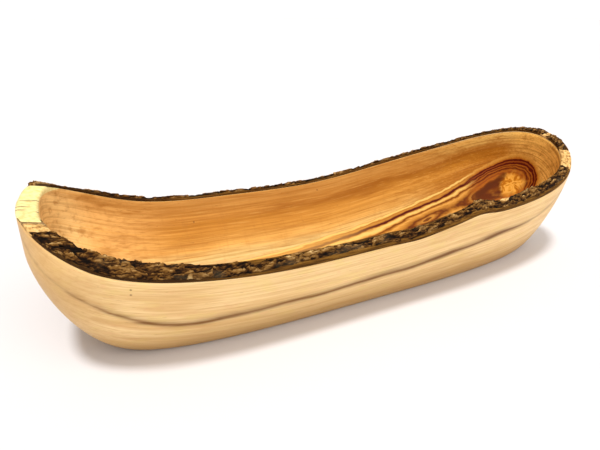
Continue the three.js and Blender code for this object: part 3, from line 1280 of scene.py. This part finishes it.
        layers = (
            (x, 144.0, 162.0, 1.0, arches),
            (x, 60.0, 0.0, 0.35, "#E0B060"),
            (grain["fibre"], 0.48, 0.75, 0.35, "#5C2C06"),
            (values["gold"], 0.15, 0.6, 1.0, eye),
            (values["wedge"], 0.1, 0.8, 0.75, "#562604"),
            (values["pale"], 0.2, 1.0, 0.45, "#C88428"),
        )
        colour = self.stain(tree, stripes, layers)
        return figure, colour

    def hollow(
        self, tree: bpy.types.NodeTree, values: dict[str, Any], grain: dict[str, Any], wave: Any
    ) -> Any:
        """The inside: orange-tan, paler at the sawn end from paler sapwood and painted light, deeper at the
        round end, round the heartwood.

        The colour follows the radius in the log. Over it lie bands that each fill a range of the radius
        and of the place along the bowl, then the grain, and last the heartwood.

        Args:
            tree: the material's node tree.
            values: the outputs of the mesh's marks.
            grain: the outputs of the grain patterns.
            wave: the output of the wood's slow wave, from about -0.5 to 0.5.

        Returns:
            The output that gives the colour.
        """
        x = add(tree, "SeparateXYZ", {0: values["place"]})
        radius = add(tree, "SeparateXYZ", {0: values["place"]}, "Z")
        depth = add(tree, "Math", {0: wave, 1: 14.0, 2: radius}, operation="MULTIPLY_ADD")
        depth = add(tree, "MapRange", {"Value": depth, "From Min": 30.0, "From Max": 80.0})
        colour = add(tree, "ValToRGB", {0: depth}, stops=self.depths)
        ranges = {
            "band": (depth, 0.5, 1.0, 0.0, 1.0),
            "along": (x, -95.0, -25.0, 0.15, 1.0),
            "cloudy": (grain["cloud"], 0.3, 0.6, 0.35, 1.0),
            "below_top": (depth, 0.94, 0.82, 0.4, 1.0),
            # Paler sapwood and painted light: the sawn end's inside, which lies in shade, is made paler below
            # its top.
            "pale_end": (x, -112.0, -178.0, 0.0, 1.0),
            "sapwood_and_painted_light_wall": (x, -168.0, -190.0, 0.0, 1.0),
            "top": (depth, 0.74, 0.86, 0.0, 1.0),
            "pale_top": (x, 92.0, 178.0, 0.0, 1.0),
            "middle": (depth, 0.74, 0.6, 0.0, 1.0),
            "amber": (x, 84.0, 135.0, 0.0, 1.0),
            "round_end": (x, 70.0, 150.0, 0.0, 1.0),
            "arc": (grain["arc"], 0.5, 0.6, 0.0, 1.0),
            "sawn_end": (x, -135.0, -185.0, 0.0, 0.3),
            "shown": (x, -150.0, -188.0, 1.0, 0.3),
        }
        part = {}
        for name, (value, low, high, least, most) in ranges.items():
            limits = {"From Min": low, "From Max": high, "To Min": least, "To Max": most}
            part[name] = add(tree, "MapRange", {"Value": value, **limits})
        part["band"] = add(tree, "ValToRGB", {0: part["band"]}, stops=self.band)
        ends = {0: part["round_end"], 1: part["sawn_end"]}
        part["both_ends"] = add(tree, "Math", ends, operation="MAXIMUM")
        figure, heart = self.heartwood(tree, values, grain, wave)
        around = {"Value": figure, "From Min": 26.0, "From Max": 3.0}
        part["halo"] = add(tree, "MapRange", around, interpolation_type="SMOOTHSTEP")
        products = (
            ("band", "along"),
            ("band", "cloudy"),
            ("pale_end", "below_top"),
            ("sapwood_and_painted_light_wall", "below_top"),
            ("pale_top", "top"),
            ("amber", "middle"),
            ("arc", "both_ends"),
            ("halo", "round_end"),
        )
        for name, factor in products:
            part[name] = add(tree, "Math", {0: part[name], 1: part[factor]}, operation="MULTIPLY")
        fibre = add(tree, "Math", {0: grain["fibre"], 1: 0.45}, operation="SUBTRACT")
        fibre = add(tree, "Math", {0: fibre, 1: part["shown"], 2: 0.45}, operation="MULTIPLY_ADD")
        layers = (
            (part["band"], 0.0, 1.0, 0.85, "#8A4C02"),
            (part["amber"], 0.0, 1.0, 0.7, "#B0721C"),
            (part["pale_top"], 0.0, 1.0, 0.95, "#DCB05E"),
            # Paler sapwood and painted light on the sawn end's inside, below its top.
            (part["pale_end"], 0.0, 1.0, 0.92, "#EAB66C"),
            (part["sapwood_and_painted_light_wall"], 0.0, 1.0, 0.65, "#FFDE98"),
            (part["halo"], 0.0, 1.0, 0.5, "#A05A10"),
            # Painted light: the round end's inner wall is made paler from x 181 mm on, in place of light it
            # lacks.
            (x, 181.0, 197.0, 0.9, "#F6C062"),
            (grain["ring"], 0.5, 0.62, 0.35, "#99600F"),
            (grain["ring"], 0.44, 0.36, 0.35, "#D79C48"),
            (grain["cloud"], 0.52, 0.74, 0.45, "#99601C"),
            (grain["streak"], 0.48, 0.7, 0.5, "#9C6018"),
            (part["arc"], 0.0, 1.0, 0.5, "#86480C"),
            (fibre, 0.45, 0.8, 0.55, "#8E5414"),
            (fibre, 0.45, 0.25, 0.3, "#E2B060"),
            (grain["ripple"], 0.50, 0.72, 0.13, "#9C6224"),
            (grain["fleck"], 0.71, 0.78, 0.35, "#643612"),
            (figure, 6.3, 4.6, 1.0, heart),
        )
        return self.stain(tree, colour, layers)

    def material(self) -> bpy.types.Material:
        """Colours the two sides of the wall, then the sawn face, its cracks and the pin holes.

        Returns:
            The new material.
        """
        material, values = self.start(("growth", "heart", "gold", "wedge", "pale", "inside"))
        tree = material.node_tree
        grain = self.grow(tree, values["place"], self.grains)
        wave = add(tree, "Math", {0: grain["wave"], 1: 0.5}, operation="SUBTRACT")
        outside = self.sapwood(tree, values, grain, wave)
        inside = self.hollow(tree, values, grain, wave)
        position = add(tree, "TexCoord", {}, "Object")
        x = add(tree, "SeparateXYZ", {0: position}, "X")
        z = add(tree, "SeparateXYZ", {0: position}, "Z")
        plane = add(tree, "Math", {0: x, 1: LOG.saw_slope, 2: z}, operation="MULTIPLY_ADD")
        level = (LOG.saw_height - LOG.saw_slope * HALF_LENGTH) * METRES
        above = add(tree, "Math", {0: plane, 1: level - 0.0006}, operation="GREATER_THAN")
        beyond = add(tree, "Math", {0: x, 1: LOG.saw_end * METRES}, operation="LESS_THAN")
        sawn = add(tree, "Math", {0: above, 1: beyond}, operation="MULTIPLY")
        inputs = {"Vector": position, "Scale": 420.0, "Detail": 3.0}
        face = add(tree, "TexNoise", inputs)
        stops = ((0.35, "#D4C07A"), (0.5, "#E2D08E"), (0.7, "#E8D99C"))
        face = add(tree, "ValToRGB", {0: face}, stops=stops)
        bend = {0: grain["blotch"], 1: 0.003, 2: -0.0015}
        bend = add(tree, "Math", bend, operation="MULTIPLY_ADD")
        bent = add(tree, "VectorMath", {0: position, 1: bend}, operation="ADD")
        for middle_x, middle_y, length in self.cracks:
            shift = (-middle_x / length, -middle_y / self.crack_width, 0.0)
            scale = (1.0 / METRES / length, 1.0 / METRES / self.crack_width, 0.0)
            near = add(tree, "Mapping", {"Vector": bent, "Location": shift, "Scale": scale})
            gap = add(tree, "VectorMath", {0: near}, "Value", operation="LENGTH")
            face = self.stain(tree, face, ((gap, 1.3, 0.6, 0.9, "#5A4628"),))
        sides = ((values["inside"], 0.0, 1.0, 1.0, inside), (sawn, 0.0, 1.0, 1.0, face))
        colour = self.stain(tree, outside, sides)
        for hole in self.pin_holes:
            middle = tuple(size * METRES for size in hole)
            gap = add(tree, "VectorMath", {0: position, 1: middle}, "Value", operation="DISTANCE")
            colour = self.stain(tree, colour, ((gap, 0.0009, 0.0003, 0.6, "#4A2A12"),))
        height = add(tree, "Math", {0: grain["fibre"], 1: grain["streak"]}, operation="ADD")
        ranges = {"Value": grain["fibre"], "To Min": self.roughness - 0.08, "To Max": self.roughness + 0.08}
        roughness = add(tree, "MapRange", ranges)
        self.end(tree, colour, roughness, height, 0.04)
        return material


@dataclass(frozen=True)
class SmoothBark(Finish):
    """The inner bark of olive, dry: olive-brown and fibrous, and pale crumbling cork where it is bare."""

    grains: tuple[Grain, ...] = (
        Grain("fibre", 16.0, 1.5, 0.8, 4.0),
        Grain("crumb", 2.6, 1.7, 1.7, 4.0),
        Grain("spot", 1.6, 1.0, 1.0, 2.0),
    )

    def material(self) -> bpy.types.Material:
        """Colours the layer by its fibres, the bare runs by crumbs and dark specks, and paints shade on the
        covered layer towards the sawn end.

        Returns:
            The new material.
        """
        material, values = self.start(("bare", "scorch"))
        tree = material.node_tree
        grain = self.grow(tree, values["place"], self.grains)
        stops = ((0.28, "#2C1803"), (0.45, "#503209"), (0.58, "#684614"), (0.75, "#866024"))
        covered = add(tree, "ValToRGB", {0: grain["fibre"]}, stops=stops)
        stops = ((0.3, "#6C4A24"), (0.42, "#A88049"), (0.55, "#D2A968"), (0.75, "#E9C88E"))
        bare = add(tree, "ValToRGB", {0: grain["crumb"]}, stops=stops)
        stops = ((0.35, "#3C2A18"), (0.5, "#745C3C"), (0.65, "#A58A60"))
        scorched = add(tree, "ValToRGB", {0: grain["spot"]}, stops=stops)
        x = add(tree, "SeparateXYZ", {0: values["place"]})
        # Painted shade: where covered, the layer darkens under the crust towards the sawn end, from x -100 to
        # -140 mm.
        shade_under_crust = add(tree, "MapRange", {"Value": x, "From Min": -100.0, "From Max": -140.0})
        uncovered = add(tree, "Math", {0: 1.0, 1: values["bare"]}, operation="SUBTRACT")
        shade_under_crust = add(tree, "Math", {0: shade_under_crust, 1: uncovered}, operation="MULTIPLY")
        layers = (
            (values["bare"], 0.25, 0.75, 1.0, bare),
            (grain["spot"], 0.60, 0.72, 0.6, "#4E3418"),
            (values["scorch"], 0.3, 0.8, 0.85, scorched),
            (shade_under_crust, 0.0, 1.0, 0.7, "#201004"),
        )
        colour = self.stain(tree, covered, layers)
        self.end(tree, colour, self.roughness, grain["crumb"], 0.4)
        return material


@dataclass(frozen=True)
class RoughBark(Finish):
    """The outer bark of olive, dry and weathered: brown plates, furrows near-black from dark bark and painted
    shade, crests pale from wear and painted highlight.
    """

    grains: tuple[Grain, ...] = (
        Grain("scab", 7.0, 1.3, 1.3, 4.0),
        Grain("grit", 2.8, 0.8, 0.8, 3.0),
        Grain("patch", 26.0, 12.0, 12.0, 2.0),
    )

    def material(self) -> bpy.types.Material:
        """Colours the bark by its relief, with grit over it: the furrows dark, from their own colour and
        painted shade, and the crests pale, from wear and painted highlight.

        Returns:
            The new material.
        """
        material, values = self.start(("relief", "tone", "pale"))
        tree = material.node_tree
        grain = self.grow(tree, values["place"], self.grains)
        # The relief paints shade into the furrows and a highlight onto the crests, over the bark's own dark
        # and worn colours.
        depth = add(tree, "Math", {0: values["relief"], 1: 0.95, 2: -0.88}, operation="MULTIPLY_ADD")
        depth = add(tree, "Math", {0: grain["scab"], 1: 1.0, 2: depth}, operation="MULTIPLY_ADD")
        depth = add(tree, "Math", {0: grain["grit"], 1: 0.85, 2: depth}, operation="MULTIPLY_ADD")
        stops = (
            (0.16, "#0A0401"),
            (0.30, "#1A0C02"),
            (0.42, "#382008"),
            (0.54, "#5A3B15"),
            (0.66, "#785628"),
            (0.80, "#8E6C3E"),
            (1.00, "#C4A46C"),
        )
        colour = add(tree, "ValToRGB", {0: depth}, stops=stops)
        stops = ((0.30, "#6B4A22"), (0.44, "#A88150"), (0.58, "#CFA870"), (0.74, "#E8CB96"))
        cork = add(tree, "ValToRGB", {0: grain["scab"]}, stops=stops)
        layers = (
            (grain["patch"], 0.52, 0.7, 0.2, "#7A6C50"),
            (values["tone"], 0.6, 1.0, 0.25, "#2A1A0C"),
            (values["pale"], 0.3, 0.7, 0.9, cork),
        )
        colour = self.stain(tree, colour, layers)
        self.end(tree, colour, self.roughness, grain["grit"], 0.5)
        return material


# The scene.


def axes_towards(azimuth: float, elevation: float) -> Array:
    """The axes of a camera or a light that faces the bowl.

    Args:
        azimuth: where it stands, in degrees from the front, positive to the right.
        elevation: how high it stands, in degrees.

    Returns:
        Its right, up and back directions, as columns.
    """
    turn, tilt = np.radians([azimuth, elevation])
    back = np.array([np.sin(turn) * np.cos(tilt), -np.cos(turn) * np.cos(tilt), np.sin(tilt)])
    right = np.array([np.cos(turn), np.sin(turn), 0.0])
    return np.stack([right, np.cross(back, right), back], -1)


def stand(thing: bpy.types.Object, axes: Array, spot: Array) -> None:
    """Puts a camera or a light in its place.

    Args:
        thing: the object, which isn't in the scene yet.
        axes: its right, up and back directions, as columns.
        spot: where it stands, in metres.
    """
    pose = np.eye(4)
    pose[:3, :3], pose[:3, 3] = axes, spot
    thing.matrix_world = Matrix(pose.tolist())
    bpy.context.scene.collection.objects.link(thing)


@dataclass(frozen=True)
class Studio:
    """A plain pale floor, soft light and the camera at the photograph's angle."""

    azimuth: float = -25.898
    elevation: float = 22.861
    distance: float = 380.022
    right_shift: float = -35.416
    up_shift: float = 11.629
    target_height: float = 35.0
    lens: float = 30.25
    floor_size: float = 40.0
    sky_light: float = 0.65
    sensor_width: float = 36.0
    light_distance: float = 1.4

    def place_camera(self) -> None:
        """Sets the camera on a line out from the bowl, and slides it sideways and up for the framing."""
        axes = axes_towards(self.azimuth, self.elevation)
        right, up, back = axes.T
        spot = [0, 0, self.target_height] + back * self.distance
        spot = spot + right * self.right_shift + up * self.up_shift
        camera = bpy.data.objects.new("camera", bpy.data.cameras.new("camera"))
        camera.data.lens = self.lens
        camera.data.sensor_width = self.sensor_width
        camera.data.clip_start = 0.01
        stand(camera, axes, spot * METRES)
        bpy.context.scene.camera = camera

    def lay_floor(self) -> None:
        """A white sheet under the bowl."""
        half = self.floor_size / 2
        mesh = bpy.data.meshes.new("floor")
        corners = [(-half, -half, 0), (half, -half, 0), (half, half, 0), (-half, half, 0)]
        mesh.from_pydata(corners, [], [(0, 1, 2, 3)])
        floor = bpy.data.objects.new("floor", mesh)
        material = bpy.data.materials.new("white_paper")
        material.use_nodes = True
        shader = material.node_tree.nodes["Principled BSDF"]
        shader.inputs["Base Color"].default_value = linear("#CFCFD2")
        shader.inputs["Roughness"].default_value = 0.9
        mesh.materials.append(material)
        bpy.context.scene.collection.objects.link(floor)

    def hang_light(
        self, name: str, azimuth: float, elevation: float, softness: float, strength: float
    ) -> None:
        """A far light that is soft because it fills a part of the sky.

        Args:
            name: the light's name.
            azimuth: where it stands, in degrees from the front, positive to the right.
            elevation: how high it stands, in degrees.
            softness: how wide it is in the sky, in degrees.
            strength: its strength in watts per square metre.
        """
        light = bpy.data.objects.new(name, bpy.data.lights.new(name, "SUN"))
        light.data.angle = np.radians(softness)
        light.data.energy = strength
        axes = axes_towards(azimuth, elevation)
        stand(light, axes, axes[:, 2] * self.light_distance)

    def light_room(self) -> None:
        """White surroundings and two soft lights."""
        world = bpy.data.worlds.new("white_room")
        world.use_nodes = True
        sky = world.node_tree.nodes["Background"]
        seen = add(world.node_tree, "LightPath", {}, "Is Camera Ray")
        ranges = {"Value": seen, "To Min": self.sky_light, "To Max": 1.1}
        strength = add(world.node_tree, "MapRange", ranges)
        shades = {0: seen, 6: linear("#FFEDDC"), 7: linear("#FFFFFF")}
        colour = add(world.node_tree, "Mix", shades, 2, data_type="RGBA")
        world.node_tree.links.new(strength, sky.inputs["Strength"])
        world.node_tree.links.new(colour, sky.inputs["Color"])
        bpy.context.scene.world = world
        self.hang_light("overhead_light", azimuth=-48.0, elevation=74.0, softness=9.0, strength=2.6)
        self.hang_light("front_light", azimuth=12.0, elevation=42.0, softness=60.0, strength=1.6)
        bpy.context.scene.view_settings.view_transform = "Standard"

    def build(self) -> None:
        """Sets up the whole studio."""
        self.place_camera()
        self.lay_floor()
        self.light_room()


def dress(piece: bpy.types.Object, material: bpy.types.Material, slot: Slot, *nodes: str) -> None:
    """Gives a piece its material and its body, and hides the frame's nodes that it stands for.

    Args:
        piece: the piece.
        material: its finish.
        slot: its material slot; not used.
        nodes: the names of the frame's nodes that it stands for, if any.
    """
    piece.data.materials.append(material)
    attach(piece, BODY)
    if nodes:
        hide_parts(*nodes)
    count = len(piece.data.polygons)
    LOGGER.info("%s: %d faces, stands for %s", piece.name, count, ", ".join(nodes) or "none")


def main() -> None:
    """Builds the studio, then the wood, then the bark from the inside out."""
    logging.basicConfig(level=logging.INFO, format="%(name)s: %(message)s")
    Studio().build()
    wood = OliveWood("oiled_olive_wood", roughness=0.42, ior=1.2).material()
    dress(WoodBody().build(), wood, Slot.WOOD, "bowl_body")
    smooth = SmoothBark("dry_inner_bark", roughness=0.75, ior=1.2).material()
    inner = InnerBark(
        "inner_bark_layer",
        run=(186.0, 526.5),
        foot=0.05,
        thickness=1.5,
        spacing=0.8,
        side_rows=5,
        top_rows=10,
        end_taper=2.0,
    )
    dress(inner.build(), smooth, Slot.INNER_BARK, "inner_bark")
    rough = RoughBark("weathered_outer_bark", roughness=0.9, ior=1.2).material()
    # The lump at the back's round end is left flat here. Its height would be given as lump_height.
    runs = (
        ("front", (194.0, 335.0), 0.0, 70),
        ("end", (348.0, 361.0), 0.0, 12),
        ("back", (363.0, 526.0), 3.6, 100),
    )
    for number, (place, run, under_saw, count) in enumerate(runs):
        crust = OuterBark(
            f"outer_bark_crust_{place}",
            run,
            foot=1.3,
            thickness=1.3,
            spacing=0.5,
            side_rows=7,
            top_rows=26,
            end_taper=3.0,
            stands_clear=1.0,
            under_saw=under_saw,
        )
        dress(crust.build(), rough, Slot.OUTER_BARK, f"outer_bark_{place}")
        part = (run[0] + 2.0, min(run[1], 520.0) - 2.0)
        flakes = BarkFlakes(f"outer_bark_flakes_{place}", part, count, seed=number)
        dress(flakes.build(), rough, Slot.OUTER_BARK)


if __name__ == "__main__":
    main()
